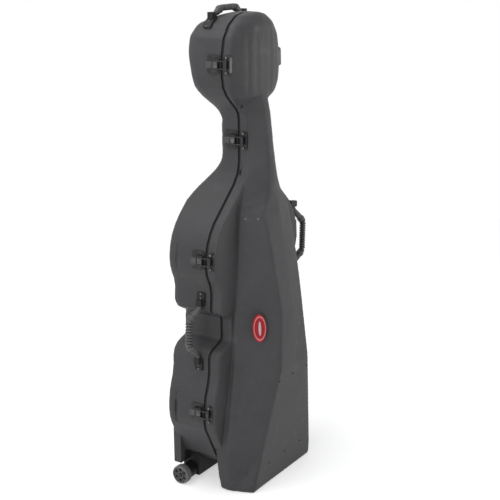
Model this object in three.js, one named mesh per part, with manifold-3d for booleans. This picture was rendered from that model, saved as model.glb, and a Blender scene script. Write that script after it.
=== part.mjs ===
// A hard case for a full-size cello, standing on its foot and its two wheels.
// Millimetres, +Z up, lid towards -Y, hinges on the +X side, latches on the -X side.
// The origin is the middle of the flat face under the lid's foot.

import * as THREE from 'three';
import { mergeVertices } from 'three/addons/utils/BufferGeometryUtils.js';
import Module from 'manifold-3d';

const wasm = await Module();
wasm.setup();

// Driving sizes of the outline that both shells share, as half widths and heights
const CASE_TOP = 1442;
const HEAD_HALF = 137;
const NECK_HALF = 51;
const UPPER_HALF = 230;
const UPPER_PAD = 68;
const NOTCH_SLANT = 30;
const WAIST_HALF = 156;
const HIP_SLANT = 26;
const LOWER_HALF = 252;
const LOWER_PAD = 86;
const HEEL_HALF = 176;
const crownShare = 0.945;
const shoulderShare = 0.865;
const ribShare = 0.892;
const lipShare = 0.914;
const hipShare = 0.892;

// Levels as shares of the whole height
const levelShares = {
  headLow: 0.853,
  neckTop: 0.7996,
  neckFoot: 0.6734,
  shoulder: 0.579,
  upper: 0.5139,
  rib: 0.4508,
  notchTop: 0.4022,
  notchFoot: 0.3322,
  hipFoot: 0.2621,
  lower: 0.1872,
  bodyFoot: 0.0527,
  shoulderBack: 0.615,
  neckBackFoot: 0.708,
  neckBackTop: 0.7677,
  jawBack: 0.8658,
  headBack: 0.9238,
  rimFall: 0.6449,
  rimNeck: 0.6935,
  domeFoot: 0.837,
  flangeTop: 0.166,
  hollowTop: 0.097,
};
const NECK_TOP = CASE_TOP * levelShares.neckTop;
const UPPER_LEVEL = CASE_TOP * levelShares.upper;
const NOTCH_TOP = CASE_TOP * levelShares.notchTop;
const NOTCH_FOOT = CASE_TOP * levelShares.notchFoot;
const LOWER_LEVEL = CASE_TOP * levelShares.lower;

// Corner radii of the outline
const CROWN_RADIUS = 116;
const JAW_RADIUS = 80;
const THROAT_RADIUS = 40;
const SWEEP_RADIUS = 90;
const BOUT_RADIUS = 90;
const FLANK_RADIUS = 50;
const NOTCH_RADIUS = 12;
const HIP_RADIUS = 30;
const HEEL_RADIUS = 40;

// Shells, seam and lining
const WALL = 4.5;
const SEAM = 9;
const FIT = 0.3;
const FOAM = 14;
const LEAST_RADIUS = 1;
const OVERRUN = 4;
const EDGE_RADIUS = 16;

// Depths behind the seam
const BODY_DEPTH = 143;
const NECK_DEPTH = 71.5;
const JAW_DEPTH = 122;
const HEAD_DEPTH = 136.5;
const CROWN_DROP = 56;
const SHOULDER_BACK = CASE_TOP * levelShares.shoulderBack;
const HEAD_BACK = CASE_TOP * levelShares.headBack;

// Lid: the rim, the head's dome and the spine that grows into the foot
const RIM = 34;
const RIM_ROUND = 6;
const NECK_RIM = 27;
const DOME_DEPTH = 60;
const DOME_DROP = 66;
const domeRimShare = 0.52;
const FOOT_HALF = 212;
const FACE_HALF = 172;
const FOOT_FRONT = 119;
const FOOT_BACK = 14;
const BELLY_DEPTH = 165;

// Wheels, axle and their carrier across the lower back
const WHEEL_RADIUS = 30;
const WHEEL_WIDTH = 25;
const TYRE_DEPTH = 6;
const WHEEL_BACK = 112;
const AXLE_RADIUS = 5;
const WHEEL_INNER = 211;
const CARRIER_HALF = 172;
const CARRIER_FRONT = 84;
const CARRIER_FOOT = 10;
const AXLE_BOSS = 13;
const FLANGE_HALF = 221;
const FLANGE_FRONT = 117;

const SEGMENT_ANGLE = THREE.MathUtils.degToRad(22);

const colours = {
  shell: 0x3b3b3d,
  trim: 0x1b1b1c,
  rubber: 0x2b2b2c,
  steel: 0x9a9a9c,
  foam: 0x33343a,
  badge: 0xb3202b,
};

const finish = {
  shell: { color: colours.shell, roughness: 0.6, metalness: 0 },
  trim: { color: colours.trim, roughness: 0.5, metalness: 0 },
  rubber: { color: colours.rubber, roughness: 0.75, metalness: 0 },
  steel: { color: colours.steel, roughness: 0.35, metalness: 1 },
  foam: { color: colours.foam, roughness: 0.95, metalness: 0 },
  badge: { color: colours.badge, roughness: 0.35, metalness: 0 },
};

const CASE_ORIGIN = (FOOT_FRONT + FOOT_BACK) / 2;
const hardCase = new THREE.Group();
const caseFrame = new THREE.Group();
caseFrame.position.y = CASE_ORIGIN;
hardCase.add(caseFrame);

// Solids: closed geometries that are joined and cut

function toSolid(geometry) {
  const bare = new THREE.BufferGeometry();
  bare.setAttribute('position', geometry.getAttribute('position'));
  bare.setIndex(geometry.getIndex());
  const merged = mergeVertices(bare);
  const vertProperties = new Float32Array(merged.getAttribute('position').array);
  const triVerts = new Uint32Array(merged.getIndex().array);
  return new wasm.Manifold(new wasm.Mesh({ numProp: 3, vertProperties, triVerts }));
}

function toGeometry(solid) {
  const mesh = solid.getMesh();
  const geometry = new THREE.BufferGeometry();
  geometry.setAttribute('position', new THREE.BufferAttribute(mesh.vertProperties, 3));
  geometry.setIndex(new THREE.BufferAttribute(mesh.triVerts, 1));
  geometry.computeVertexNormals();
  return geometry;
}

function join(...parts) {
  return toGeometry(parts.map(toSolid).reduce((sum, part) => sum.add(part)));
}

function cut(body, ...tools) {
  return toGeometry(tools.map(toSolid).reduce((left, tool) => left.subtract(tool), toSolid(body)));
}

function common(a, b) {
  return toGeometry(toSolid(a).intersect(toSolid(b)));
}

function block(x, y, z) {
  const box = new THREE.BoxGeometry(x[1] - x[0], y[1] - y[0], z[1] - z[0]);
  return box.translate((x[0] + x[1]) / 2, (y[0] + y[1]) / 2, (z[0] + z[1]) / 2);
}

function rod(radius, z, sides = 12) {
  const cylinder = new THREE.CylinderGeometry(radius, radius, z[1] - z[0], sides);
  return cylinder.rotateX(Math.PI / 2).translate(0, 0, (z[0] + z[1]) / 2);
}

// A hole whose flats stay clear of a turning pin of the given radius
function hole(radius, z, sides = 12) {
  return rod((radius + FIT) / Math.cos(Math.PI / sides), z, sides);
}

function plate(shape, z, curveSegments = 3) {
  const extrusion = new THREE.ExtrudeGeometry(shape, { depth: z[1] - z[0], bevelEnabled: false, curveSegments });
  return extrusion.translate(0, 0, z[0]);
}

// A profile across the depth and the height, drawn right across the case
function acrossCase(points) {
  const shape = new THREE.Shape(points.map(([y, z]) => new THREE.Vector2(y, z)));
  const axes = [new THREE.Vector3(0, 1, 0), new THREE.Vector3(0, 0, 1), new THREE.Vector3(1, 0, 0)];
  return plate(shape, [-LOWER_HALF, LOWER_HALF]).applyMatrix4(new THREE.Matrix4().makeBasis(...axes));
}

// Rings of equally many points become one solid, each ring lying level or parallel to the seam
function loft(rings, isLevel) {
  const count = rings[0].length;
  const positions = rings.flat().flatMap((point) => point.toArray());
  const triangles = [];
  for (let ring = 0; ring + 1 < rings.length; ring += 1) {
    for (let i = 0; i < count; i += 1) {
      const a = ring * count + i;
      const b = ring * count + (i + 1) % count;
      triangles.push(a, b, b + count, a, b + count, a + count);
    }
  }
  const contour = (ring) => ring.map((point) => new THREE.Vector2(point.x, isLevel ? point.y : point.z));
  const cap = (ring, first, along) => {
    const outline = contour(ring);
    const keep = along === THREE.ShapeUtils.area(outline) > 0;
    for (const [a, b, c] of THREE.ShapeUtils.triangulateShape(outline, [])) {
      triangles.push(...(keep ? [a, b, c] : [c, b, a]).map((i) => first + i));
    }
  };
  cap(rings[0], 0, false);
  cap(rings.at(-1), (rings.length - 1) * count, true);
  const climb = isLevel ? rings.at(-1)[0].z - rings[0][0].z : rings[0][0].y - rings.at(-1)[0].y;
  if ((climb > 0) !== THREE.ShapeUtils.area(contour(rings[0])) > 0) {
    triangles.reverse();
  }
  const geometry = new THREE.BufferGeometry();
  geometry.setAttribute('position', new THREE.Float32BufferAttribute(positions, 3));
  geometry.setIndex(triangles);
  return geometry;
}

function addPiece(group, name, geometry, look) {
  const mesh = new THREE.Mesh(geometry, new THREE.MeshStandardMaterial(look));
  mesh.name = name;
  group.add(mesh);
  return mesh;
}

// The outline is a closed polygon with rounded corners, which moves inwards by an even distance

function padHalf(level) {
  const taper = (LOWER_HALF - UPPER_HALF) / (UPPER_LEVEL - LOWER_LEVEL);
  return UPPER_HALF + taper * (UPPER_LEVEL - level);
}

function boutPad(level, length) {
  const top = level + length / 2;
  const foot = level - length / 2;
  return [[padHalf(top), top, BOUT_RADIUS], [padHalf(foot), foot, FLANK_RADIUS]];
}

const caseCorners = [
  [HEAD_HALF * crownShare, CASE_TOP, CROWN_RADIUS],
  [HEAD_HALF, CASE_TOP * levelShares.headLow, JAW_RADIUS],
  [NECK_HALF, NECK_TOP, THROAT_RADIUS],
  [NECK_HALF, CASE_TOP * levelShares.neckFoot, SWEEP_RADIUS],
  [UPPER_HALF * shoulderShare, CASE_TOP * levelShares.shoulder, BOUT_RADIUS],
  ...boutPad(UPPER_LEVEL, UPPER_PAD),
  [UPPER_HALF * ribShare, CASE_TOP * levelShares.rib, FLANK_RADIUS],
  [UPPER_HALF * lipShare, NOTCH_TOP, NOTCH_RADIUS],
  [WAIST_HALF, NOTCH_TOP - NOTCH_SLANT, NOTCH_RADIUS],
  [WAIST_HALF, NOTCH_FOOT, NOTCH_RADIUS],
  [LOWER_HALF * hipShare, NOTCH_FOOT - HIP_SLANT, HIP_RADIUS],
  [LOWER_HALF * hipShare, CASE_TOP * levelShares.hipFoot, BOUT_RADIUS],
  ...boutPad(LOWER_LEVEL, LOWER_PAD),
  [HEEL_HALF, CASE_TOP * levelShares.bodyFoot, HEEL_RADIUS],
];

function insetPolygon(points, distance) {
  return points.map((point, i) => {
    const before = points[(i + points.length - 1) % points.length];
    const after = points[(i + 1) % points.length];
    const arriving = point.clone().sub(before).normalize();
    const leaving = after.clone().sub(point).normalize();
    const inwards = new THREE.Vector2(-arriving.y - leaving.y, arriving.x + leaving.x);
    return point.clone().addScaledVector(inwards, distance / (1 + arriving.dot(leaving)));
  });
}

function roundedLoop(corners, inset) {
  const right = corners.map(([half, level]) => new THREE.Vector2(half, level)).reverse();
  const left = corners.map(([half, level]) => new THREE.Vector2(-half, level));
  const radii = corners.map((corner) => corner[2]);
  const polygon = [...right, ...left];
  const moved = insetPolygon(polygon, inset);
  const radius = [...radii.slice().reverse(), ...radii];
  return moved.flatMap((corner, i) => {
    const arriving = corner.clone().sub(moved[(i + moved.length - 1) % moved.length]).normalize();
    const leaving = moved[(i + 1) % moved.length].clone().sub(corner).normalize();
    const turn = Math.atan2(arriving.cross(leaving), arriving.dot(leaving));
    const bend = Math.max(radius[i] - Math.sign(turn) * inset, LEAST_RADIUS);
    const steps = Math.max(1, Math.round(Math.abs(turn) / SEGMENT_ANGLE));
    const start = corner.clone().addScaledVector(arriving, -bend * Math.tan(Math.abs(turn) / 2));
    const side = new THREE.Vector2(-arriving.y, arriving.x).multiplyScalar(Math.sign(turn) * bend);
    const centre = start.clone().add(side);
    return Array.from({ length: steps + 1 }, (_, step) => {
      return start.clone().rotateAround(centre, turn * step / steps);
    });
  });
}

function halfWidthAt(corners, inset, level) {
  const loop = roundedLoop(corners, inset).filter((point) => point.x > 0);
  for (let i = 0; i + 1 < loop.length; i += 1) {
    const [a, b] = [loop[i], loop[i + 1]];
    if (a.y <= level && level <= b.y) {
      return a.x + (b.x - a.x) * (level - a.y) / Math.max(b.y - a.y, Number.EPSILON);
    }
  }
  return loop.at(-1).x;
}

// A slab of the outline from one depth to another, with its far edge eased by a radius
function outlineSlab(corners, inset, near, far, edge) {
  const toward = Math.sign(far - near);
  const steps = edge > 2 * LEAST_RADIUS ? 3 : 0;
  const slices = [[near, 0]];
  for (let step = 0; step <= steps; step += 1) {
    const angle = (step / steps) * Math.PI / 2;
    slices.push(steps > 0 ? [far - toward * edge * (1 - Math.sin(angle)), edge * (1 - Math.cos(angle))] : [far, 0]);
  }
  const rings = slices.map(([depth, ease]) => {
    return roundedLoop(corners, inset + ease).map((point) => new THREE.Vector3(point.x, depth, point.y));
  });
  return loft(rings, false);
}

function belowLevel(level) {
  return block([-2 * LOWER_HALF, 2 * LOWER_HALF], [-2 * BELLY_DEPTH, 2 * BODY_DEPTH], [-CASE_TOP, level]);
}

function aboveLevel(level) {
  return block([-2 * LOWER_HALF, 2 * LOWER_HALF], [-2 * BELLY_DEPTH, 2 * BODY_DEPTH], [level, 2 * CASE_TOP]);
}

// Levels that follow the outline's own points between two heights, with a least step between them
const LEVEL_STEP = 9;
function levelsBetween(low, high) {
  const heights = roundedLoop(caseCorners, 0).map((point) => point.y).sort((a, b) => a - b);
  const levels = [low];
  for (const height of heights) {
    if (height > levels.at(-1) + LEVEL_STEP && height < high - LEVEL_STEP / 2) {
      levels.push(height);
    }
  }
  return [...levels, high];
}

function smoothBetween(level, from, to) {
  return THREE.MathUtils.smoothstep(level, from, to);
}

function crownFactor(level, top, drop) {
  const climb = THREE.MathUtils.clamp((level - top + drop) / drop, 0, 1);
  return Math.sqrt(1 - climb * climb);
}

// Back shell: the body is a slab of the outline, the neck and head are rings whose depth changes

function backDepth(level) {
  const { shoulderBack, neckBackFoot, neckBackTop, jawBack, headBack } = levelShares;
  const up = level / CASE_TOP;
  const toNeck = (NECK_DEPTH - BODY_DEPTH) * smoothBetween(up, shoulderBack, neckBackFoot);
  const toJaw = (JAW_DEPTH - NECK_DEPTH) * smoothBetween(up, neckBackTop, jawBack);
  const toHead = (HEAD_DEPTH - JAW_DEPTH) * smoothBetween(up, jawBack, headBack);
  return BODY_DEPTH + toNeck + toJaw + toHead;
}

const HEAD_EDGE = 30;
const backLevelShares = [0.64, 0.665, 0.69, 0.722, 0.78, 0.822, 0.9, 0.945];
const crownLeastShare = 0.3;

function backRing(level, inset, near) {
  const half = halfWidthAt(caseCorners, inset, level);
  const full = backDepth(level) - inset;
  const crown = crownFactor(level + inset, CASE_TOP, CROWN_DROP);
  const depth = full * Math.max(crown, crownLeastShare);
  const headward = smoothBetween(level, SHOULDER_BACK, HEAD_BACK);
  const wanted = EDGE_RADIUS + (HEAD_EDGE - EDGE_RADIUS) * headward - inset;
  const edge = Math.min(Math.max(wanted, LEAST_RADIUS), half / 2, (depth - near) / 2);
  const eased = edge * (1 - Math.SQRT1_2);
  const side = [[half, near], [half, depth - edge], [half - eased, depth - eased], [half - edge, depth]];
  const other = side.map(([x, y]) => [-x, y]).reverse();
  return [...side, ...other].map(([x, y]) => new THREE.Vector3(x, y, level));
}

function backBody(inset, near) {
  const joint = SHOULDER_BACK;
  const body = common(
    outlineSlab(caseCorners, inset, near, BODY_DEPTH - inset, Math.max(EDGE_RADIUS - inset, LEAST_RADIUS)),
    belowLevel(joint + LEVEL_STEP),
  );
  const top = CASE_TOP - inset;
  const levels = levelsBetween(joint, top - LEAST_RADIUS);
  const extra = backLevelShares.map((share) => CASE_TOP * share)
    .filter((level) => levels.every((other) => Math.abs(other - level) > LEVEL_STEP));
  const rings = [...levels, ...extra].sort((a, b) => a - b).map((level) => backRing(level, inset, near));
  return join(body, loft(rings, true));
}

// The carrier that holds the axle is open underneath, and a fin stands behind each wheel
function backCarrier() {
  const depth = [CARRIER_FRONT, BODY_DEPTH];
  const top = CASE_TOP * levelShares.flangeTop;
  const box = block([-CARRIER_HALF, CARRIER_HALF], depth, [CARRIER_FOOT, top]);
  const inner = block(
    [-CARRIER_HALF + WALL, CARRIER_HALF - WALL],
    [CARRIER_FRONT + WALL, BODY_DEPTH - WALL],
    [CARRIER_FOOT - OVERRUN, top - WALL],
  );
  const sides = [-1, 1].flatMap((side) => {
    const inside = side * (CARRIER_HALF - WALL);
    const fin = block(
      [inside, side * FLANGE_HALF].sort((a, b) => a - b),
      [FLANGE_FRONT, BODY_DEPTH],
      [2 * WHEEL_RADIUS + WALL, top],
    );
    const boss = rod(AXLE_BOSS, [inside, side * (WHEEL_INNER - WALL)].sort((a, b) => a - b));
    return [fin, boss.rotateY(Math.PI / 2).translate(0, WHEEL_BACK, WHEEL_RADIUS)];
  });
  return join(cut(box, inner), ...sides);
}

// Lid: a shallow tray, the head's dome and the spine, joined

const domeShares = [[1, 0.06], [1, 0.3], [0.965, 0.43], [0.88, 0.56], [0.7, 0.74], [0.45, 0.9], [0, 1]];

function domeRing(level, inset, near) {
  const half = halfWidthAt(caseCorners, inset, level);
  const crown = domeRimShare + (1 - domeRimShare) * crownFactor(level + inset, CASE_TOP, DOME_DROP);
  const domeFoot = CASE_TOP * levelShares.domeFoot;
  const swell = NECK_RIM + (DOME_DEPTH - NECK_RIM) * smoothBetween(level, NECK_TOP, domeFoot);
  const depth = Math.min(swell, DOME_DEPTH * crown) - inset;
  const side = domeShares.map(([across, out]) => [half * across, -Math.max(depth * out, -near)]);
  side[0][1] = near;
  const other = side.slice(0, -1).map(([x, y]) => [-x, y]).reverse();
  return [...side, ...other].map(([x, y]) => new THREE.Vector3(x, y, level));
}

// The spine's section at each level: height share, then shares of the foot's half width, of the rim
// there, of the front face's half width, and of the belly's depth at that face's edge and middle
const spineShares = [
  [0, 0.93, 1.45, 1, 0.721, 0.721],
  [0.09, 1.02, 1.6, 0.823, 0.813, 0.812],
  [0.267, 0.745, 1.354, 0.474, 0.993, 0.986],
  [0.389, 0.637, 1.165, 0.356, 0.938, 0.957],
  [0.507, 0.524, 1.058, 0.388, 0.778, 0.814],
  [0.55, 0.492, 1.04, 0.396, 0.702, 0.743],
  [0.6, 0.458, 1.03, 0.408, 0.596, 0.672],
  [0.6175, 0.439, 1.03, 0.316, 0.584, 0.644],
  [0.643, 0.39, 1.03, 0.187, 0.557, 0.597],
  [0.67, 0.311, 0.97, 0.136, 0.529, 0.563],
  [0.701, 0.245, 0.825, 0.109, 0.505, 0.53],
  [0.7425, 0.231, 0.767, 0.096, 0.465, 0.485],
  [0.805, 0.231, 0.767, 0.092, 0.405, 0.42],
  [0.843, 0.212, 0.767, 0.092, 0.35, 0.36],
  [0.87, 0.142, 0.706, 0.058, 0.28, 0.29],
];

function spineRing([up, footAcross, footOut, edgeAcross, edgeOut, middleOut], inset, rear) {
  const side = [
    [-FOOT_HALF * footAcross, rear],
    [-FOOT_HALF * footAcross, -RIM * footOut],
    [-FACE_HALF * edgeAcross, -BELLY_DEPTH * edgeOut],
  ];
  const other = side.map(([x, y]) => [-x, y]).reverse();
  const section = [...side, [0, -BELLY_DEPTH * middleOut], ...other].map(([x, y]) => new THREE.Vector2(x, y));
  const level = up > 0 ? up * CASE_TOP : inset;
  return insetPolygon(section, inset).map((point) => new THREE.Vector3(point.x, point.y, level));
}

const hollowShare = 0.6;
const footRows = 3;

function spineForm(inset) {
  const rows = spineShares.filter((row) => FACE_HALF * row[3] > hollowShare * inset);
  if (inset <= 0) {
    return loft(rows.map((row) => spineRing(row, inset, -FOOT_BACK)), true);
  }
  const open = loft(rows.map((row) => spineRing(row, inset, inset + OVERRUN)), true);
  const foot = loft(rows.slice(0, footRows).map((row) => spineRing(row, inset, -FOOT_BACK)), true);
  const split = CASE_TOP * levelShares.hollowTop;
  return join(common(open, aboveLevel(split - OVERRUN)), common(foot, belowLevel(split)));
}

// The tray is less deep along the neck, with a short slope between
function lidForm(inset, near) {
  const slab = outlineSlab(caseCorners, inset, near, -RIM + inset, Math.max(RIM_ROUND - inset, LEAST_RADIUS));
  const relief = acrossCase([
    [-RIM - OVERRUN + inset, CASE_TOP * levelShares.rimFall],
    [-RIM + inset, CASE_TOP * levelShares.rimFall],
    [-NECK_RIM + inset, CASE_TOP * levelShares.rimNeck],
    [-NECK_RIM + inset, CASE_TOP],
    [-RIM - OVERRUN + inset, CASE_TOP],
  ]);
  const tray = cut(common(slab, belowLevel(NECK_TOP + THROAT_RADIUS / 2)), relief);
  const levels = levelsBetween(NECK_TOP, CASE_TOP - inset - LEAST_RADIUS);
  const dome = loft(levels.map((level) => domeRing(level, inset, near)), true);
  return join(tray, dome, spineForm(inset));
}

// Shallow grooves that frame the widest stretches of the back's side walls
const GROOVE_DEPTH = 4;
const GROOVE_WIDTH = 7;
const GROOVE_FRONT = 106;
const GROOVE_OVERHANG = 11;

function backGroove(level, pad) {
  const far = GROOVE_FRONT + GROOVE_WIDTH;
  const ring = cut(
    outlineSlab(caseCorners, -OVERRUN, GROOVE_FRONT, far, 0),
    outlineSlab(caseCorners, GROOVE_DEPTH, GROOVE_FRONT - OVERRUN, far + OVERRUN, 0),
  );
  const reach = pad / 2 + GROOVE_OVERHANG;
  const band = block([-2 * LOWER_HALF, 2 * LOWER_HALF], [0, BODY_DEPTH], [level - reach, level + reach]);
  return common(ring, band);
}


const axleBore = hole(AXLE_RADIUS, [-FLANGE_HALF, FLANGE_HALF])
  .rotateY(Math.PI / 2).translate(0, WHEEL_BACK, WHEEL_RADIUS);
const backOuter = join(backBody(0, SEAM / 2), backCarrier());
const backShell = cut(
  backOuter,
  backBody(WALL, -OVERRUN),
  backGroove(UPPER_LEVEL, UPPER_PAD),
  backGroove(LOWER_LEVEL, LOWER_PAD),
  axleBore,
);
addPiece(caseFrame, 'back_shell', backShell, finish.shell);

const lidOuter = lidForm(0, -SEAM / 2);
const lidShell = cut(lidOuter, lidForm(WALL, OVERRUN));
addPiece(caseFrame, 'lid_shell', lidShell, finish.shell);

// Forms that the fittings on each shell are cut to, so that every one of them sits on its wall
const backSeat = backBody(-FIT, SEAM / 2 - FIT);
const lidSeat = lidForm(-FIT, -SEAM / 2 + FIT);

// Seal strip between the shells
const SEAL_INSET = 5;
const SEAL_WIDTH = 10;
const sealHalf = SEAM / 2 - FIT;
const seal = cut(
  outlineSlab(caseCorners, SEAL_INSET, sealHalf, -sealHalf, 0),
  outlineSlab(caseCorners, SEAL_INSET + SEAL_WIDTH, sealHalf + OVERRUN, -sealHalf - OVERRUN, 0),
);
addPiece(caseFrame, 'seal_strip', seal, finish.rubber);

// Foam linings, the back one with a recess in the shape of a cello
const CELLO_TOP = CASE_TOP * 0.613;
const CELLO_FOOT = CASE_TOP * 0.0742;
const CELLO_DEPTH = 112;
const CELLO_UPPER = 178;
const CELLO_WAIST = 128;
const CELLO_LOWER = 228;
const CELLO_HIP = 198;
const CELLO_ROUND = 60;
const celloNeckShare = 0.4;
const celloHeelShare = 0.66;
const celloLevels = { shoulder: 0.88, upper: 0.7, waistTop: 0.585, waistFoot: 0.45, hip: 0.38, lower: 0.25, low: 0.12 };

function celloLevel(share) {
  return CELLO_FOOT + (CELLO_TOP - CELLO_FOOT) * share;
}

const celloCorners = [
  [CELLO_UPPER * celloNeckShare, CELLO_TOP, CELLO_ROUND],
  [CELLO_UPPER, celloLevel(celloLevels.shoulder), CELLO_ROUND],
  [CELLO_UPPER, celloLevel(celloLevels.upper), CELLO_ROUND],
  [CELLO_WAIST, celloLevel(celloLevels.waistTop), CELLO_ROUND / 2],
  [CELLO_WAIST, celloLevel(celloLevels.waistFoot), CELLO_ROUND / 2],
  [CELLO_HIP, celloLevel(celloLevels.hip), CELLO_ROUND / 2],
  [CELLO_LOWER, celloLevel(celloLevels.lower), CELLO_ROUND],
  [CELLO_LOWER, celloLevel(celloLevels.low), CELLO_ROUND],
  [CELLO_LOWER * celloHeelShare, CELLO_FOOT, CELLO_ROUND],
];

const liningInset = WALL + FIT;
const celloRecess = outlineSlab(celloCorners, 0, -OVERRUN, CELLO_DEPTH, 0);
const neckRecess = common(backBody(liningInset + FOAM, -OVERRUN), aboveLevel(SHOULDER_BACK - FOAM));
const backLining = cut(backBody(liningInset, SEAM / 2), celloRecess, neckRecess);
addPiece(caseFrame, 'back_lining', backLining, finish.foam);

const lidHollow = lidForm(liningInset + FOAM, OVERRUN);
const lidSide = block([-2 * LOWER_HALF, 2 * LOWER_HALF], [-2 * BELLY_DEPTH, -SEAM / 2], [0, CASE_TOP]);
const lidLining = cut(common(lidForm(liningInset, -SEAM / 2), lidSide), lidHollow);
addPiece(caseFrame, 'lid_lining', lidLining, finish.foam);

// Fittings are drawn for the right-hand wall, x outwards from it, and mirrored for the left-hand one

function mirrored(geometry) {
  const flipped = geometry.clone().scale(-1, 1, 1);
  const index = Array.from(flipped.getIndex().array);
  flipped.setIndex(index.reverse());
  return flipped;
}

function wallPlace(side, level, reach) {
  const above = halfWidthAt(caseCorners, 0, level + reach);
  const below = halfWidthAt(caseCorners, 0, level - reach);
  const lean = Math.atan2(above - below, 2 * reach);
  const out = halfWidthAt(caseCorners, 0, level);
  return (geometry) => {
    const placed = geometry.rotateY(lean).translate(out, 0, level);
    return side > 0 ? placed : mirrored(placed);
  };
}

function rounded(u, v, radius) {
  const shape = new THREE.Shape();
  shape.moveTo(u[0] + radius, v[0]);
  shape.lineTo(u[1] - radius, v[0]);
  shape.absarc(u[1] - radius, v[0] + radius, radius, -Math.PI / 2, 0, false);
  shape.absarc(u[1] - radius, v[1] - radius, radius, 0, Math.PI / 2, false);
  shape.absarc(u[0] + radius, v[1] - radius, radius, Math.PI / 2, Math.PI, false);
  shape.absarc(u[0] + radius, v[0] + radius, radius, Math.PI, 1.5 * Math.PI, false);
  return shape;
}

function wallPlate(shape, x) {
  const axes = [new THREE.Vector3(0, 1, 0), new THREE.Vector3(0, 0, 1), new THREE.Vector3(1, 0, 0)];
  return plate(shape, x).applyMatrix4(new THREE.Matrix4().makeBasis(...axes));
}

// Draw latches: base and lever on the back shell, a draw loop over the seam, a keeper on the lid
const LATCH_HALF = 28;
const LATCH_ROOT = -12;
const BASE_FRONT = 6;
const BASE_BACK = 50;
const BASE_THICK = 3;
const LEVER_PIVOT = { x: 8, y: 14 };
const LEVER_NOSE = 4.5;
const LEVER_HALF = 9;
const LEVER_END = 46;
const LEVER_TOP = 12.5;
const LEVER_TIP = 16;
const LEVER_THICK = 5;
const LOOP_PIVOT = { x: 12, y: 27 };
const LOOP_HALF = 12.8;
const LOOP_UNDER = 10.6;
const LOOP_TOP = 14;
const LOOP_BACK = 30;
const LOOP_FRONT = -22;
const LOOP_BAR = 4;
const CHEEK_THICK = 3;
const PIN_RADIUS = 2;
const KEEPER_FRONT = -29;
const KEEPER_BACK = -8;
const KEEPER_THICK = 4;
const KEEPER_RIDGE = 4;
const BOLT_RADIUS = 4.5;
const BOLT_TOP = 7;
const LATCH_CORNER = 8;
const latchWallReach = LATCH_HALF / 2;

function pinAlong(radius, half, at) {
  return rod(radius, [-half, half], 8).translate(at.x, at.y, 0);
}

function holeAlong(radius, half, at) {
  return hole(radius, [-half, half], 8).translate(at.x, at.y, 0);
}

function latchBase() {
  const cheekTop = LEVER_PIVOT.x + LEVER_NOSE;
  const cheeks = [-1, 1].map((side) => {
    const inner = LOOP_HALF + FIT;
    const reach = [side * inner, side * (inner + CHEEK_THICK)].sort((a, b) => a - b);
    return block([0, cheekTop], [BASE_FRONT, LOOP_BACK + OVERRUN], reach);
  });
  const bores = holeAlong(PIN_RADIUS, LATCH_HALF, LEVER_PIVOT);
  const body = wallPlate(rounded([BASE_FRONT, BASE_BACK], [-LATCH_HALF, LATCH_HALF], LATCH_CORNER), [LATCH_ROOT, BASE_THICK]);
  return cut(join(body, ...cheeks), bores);
}

function latchLever() {
  const profile = new THREE.Shape();
  const nose = LEVER_PIVOT;
  profile.absarc(nose.x, nose.y, LEVER_NOSE, Math.PI, 2 * Math.PI, false);
  profile.lineTo(LEVER_TOP, LEVER_END - LEVER_THICK);
  profile.lineTo(LEVER_TIP, LEVER_END);
  profile.lineTo(LEVER_TIP - LEVER_THICK, LEVER_END);
  profile.lineTo(LEVER_TOP - LEVER_THICK, LEVER_END - LEVER_THICK);
  profile.lineTo(nose.x - LEVER_NOSE, nose.y + LEVER_THICK);
  const pin = pinAlong(PIN_RADIUS, LOOP_HALF + CHEEK_THICK, nose);
  const bores = holeAlong(PIN_RADIUS, LEVER_HALF + OVERRUN, LOOP_PIVOT);
  return cut(join(plate(profile, [-LEVER_HALF, LEVER_HALF]), pin), bores);
}

function latchLoop() {
  const arms = [-1, 1].map((side) => {
    const reach = [side * (LEVER_HALF + FIT), side * LOOP_HALF].sort((a, b) => a - b);
    return block([LOOP_UNDER, LOOP_TOP], [LOOP_FRONT, LOOP_BACK], reach);
  });
  const bar = block([LOOP_UNDER, LOOP_TOP], [LOOP_FRONT, LOOP_FRONT + LOOP_BAR], [-LOOP_HALF, LOOP_HALF]);
  const pin = pinAlong(PIN_RADIUS, LOOP_HALF - FIT, LOOP_PIVOT);
  return join(...arms, bar, pin);
}

function latchKeeper() {
  const plateBody = wallPlate(
    rounded([KEEPER_FRONT, KEEPER_BACK], [-LATCH_HALF, LATCH_HALF], LATCH_CORNER),
    [LATCH_ROOT, KEEPER_THICK],
  );
  const ridgeFront = LOOP_FRONT + LOOP_BAR + FIT;
  const ridge = block([0, LOOP_TOP], [ridgeFront, ridgeFront + KEEPER_RIDGE], [-LEVER_HALF, LEVER_HALF]);
  const bolts = [-1, 1].map((end) => {
    const middle = (KEEPER_FRONT + KEEPER_BACK) / 2;
    return rod(BOLT_RADIUS, [0, BOLT_TOP], 8).rotateY(Math.PI / 2)
      .translate(0, middle, end * (LATCH_HALF - LATCH_CORNER));
  });
  return join(plateBody, ridge, ...bolts);
}

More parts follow.
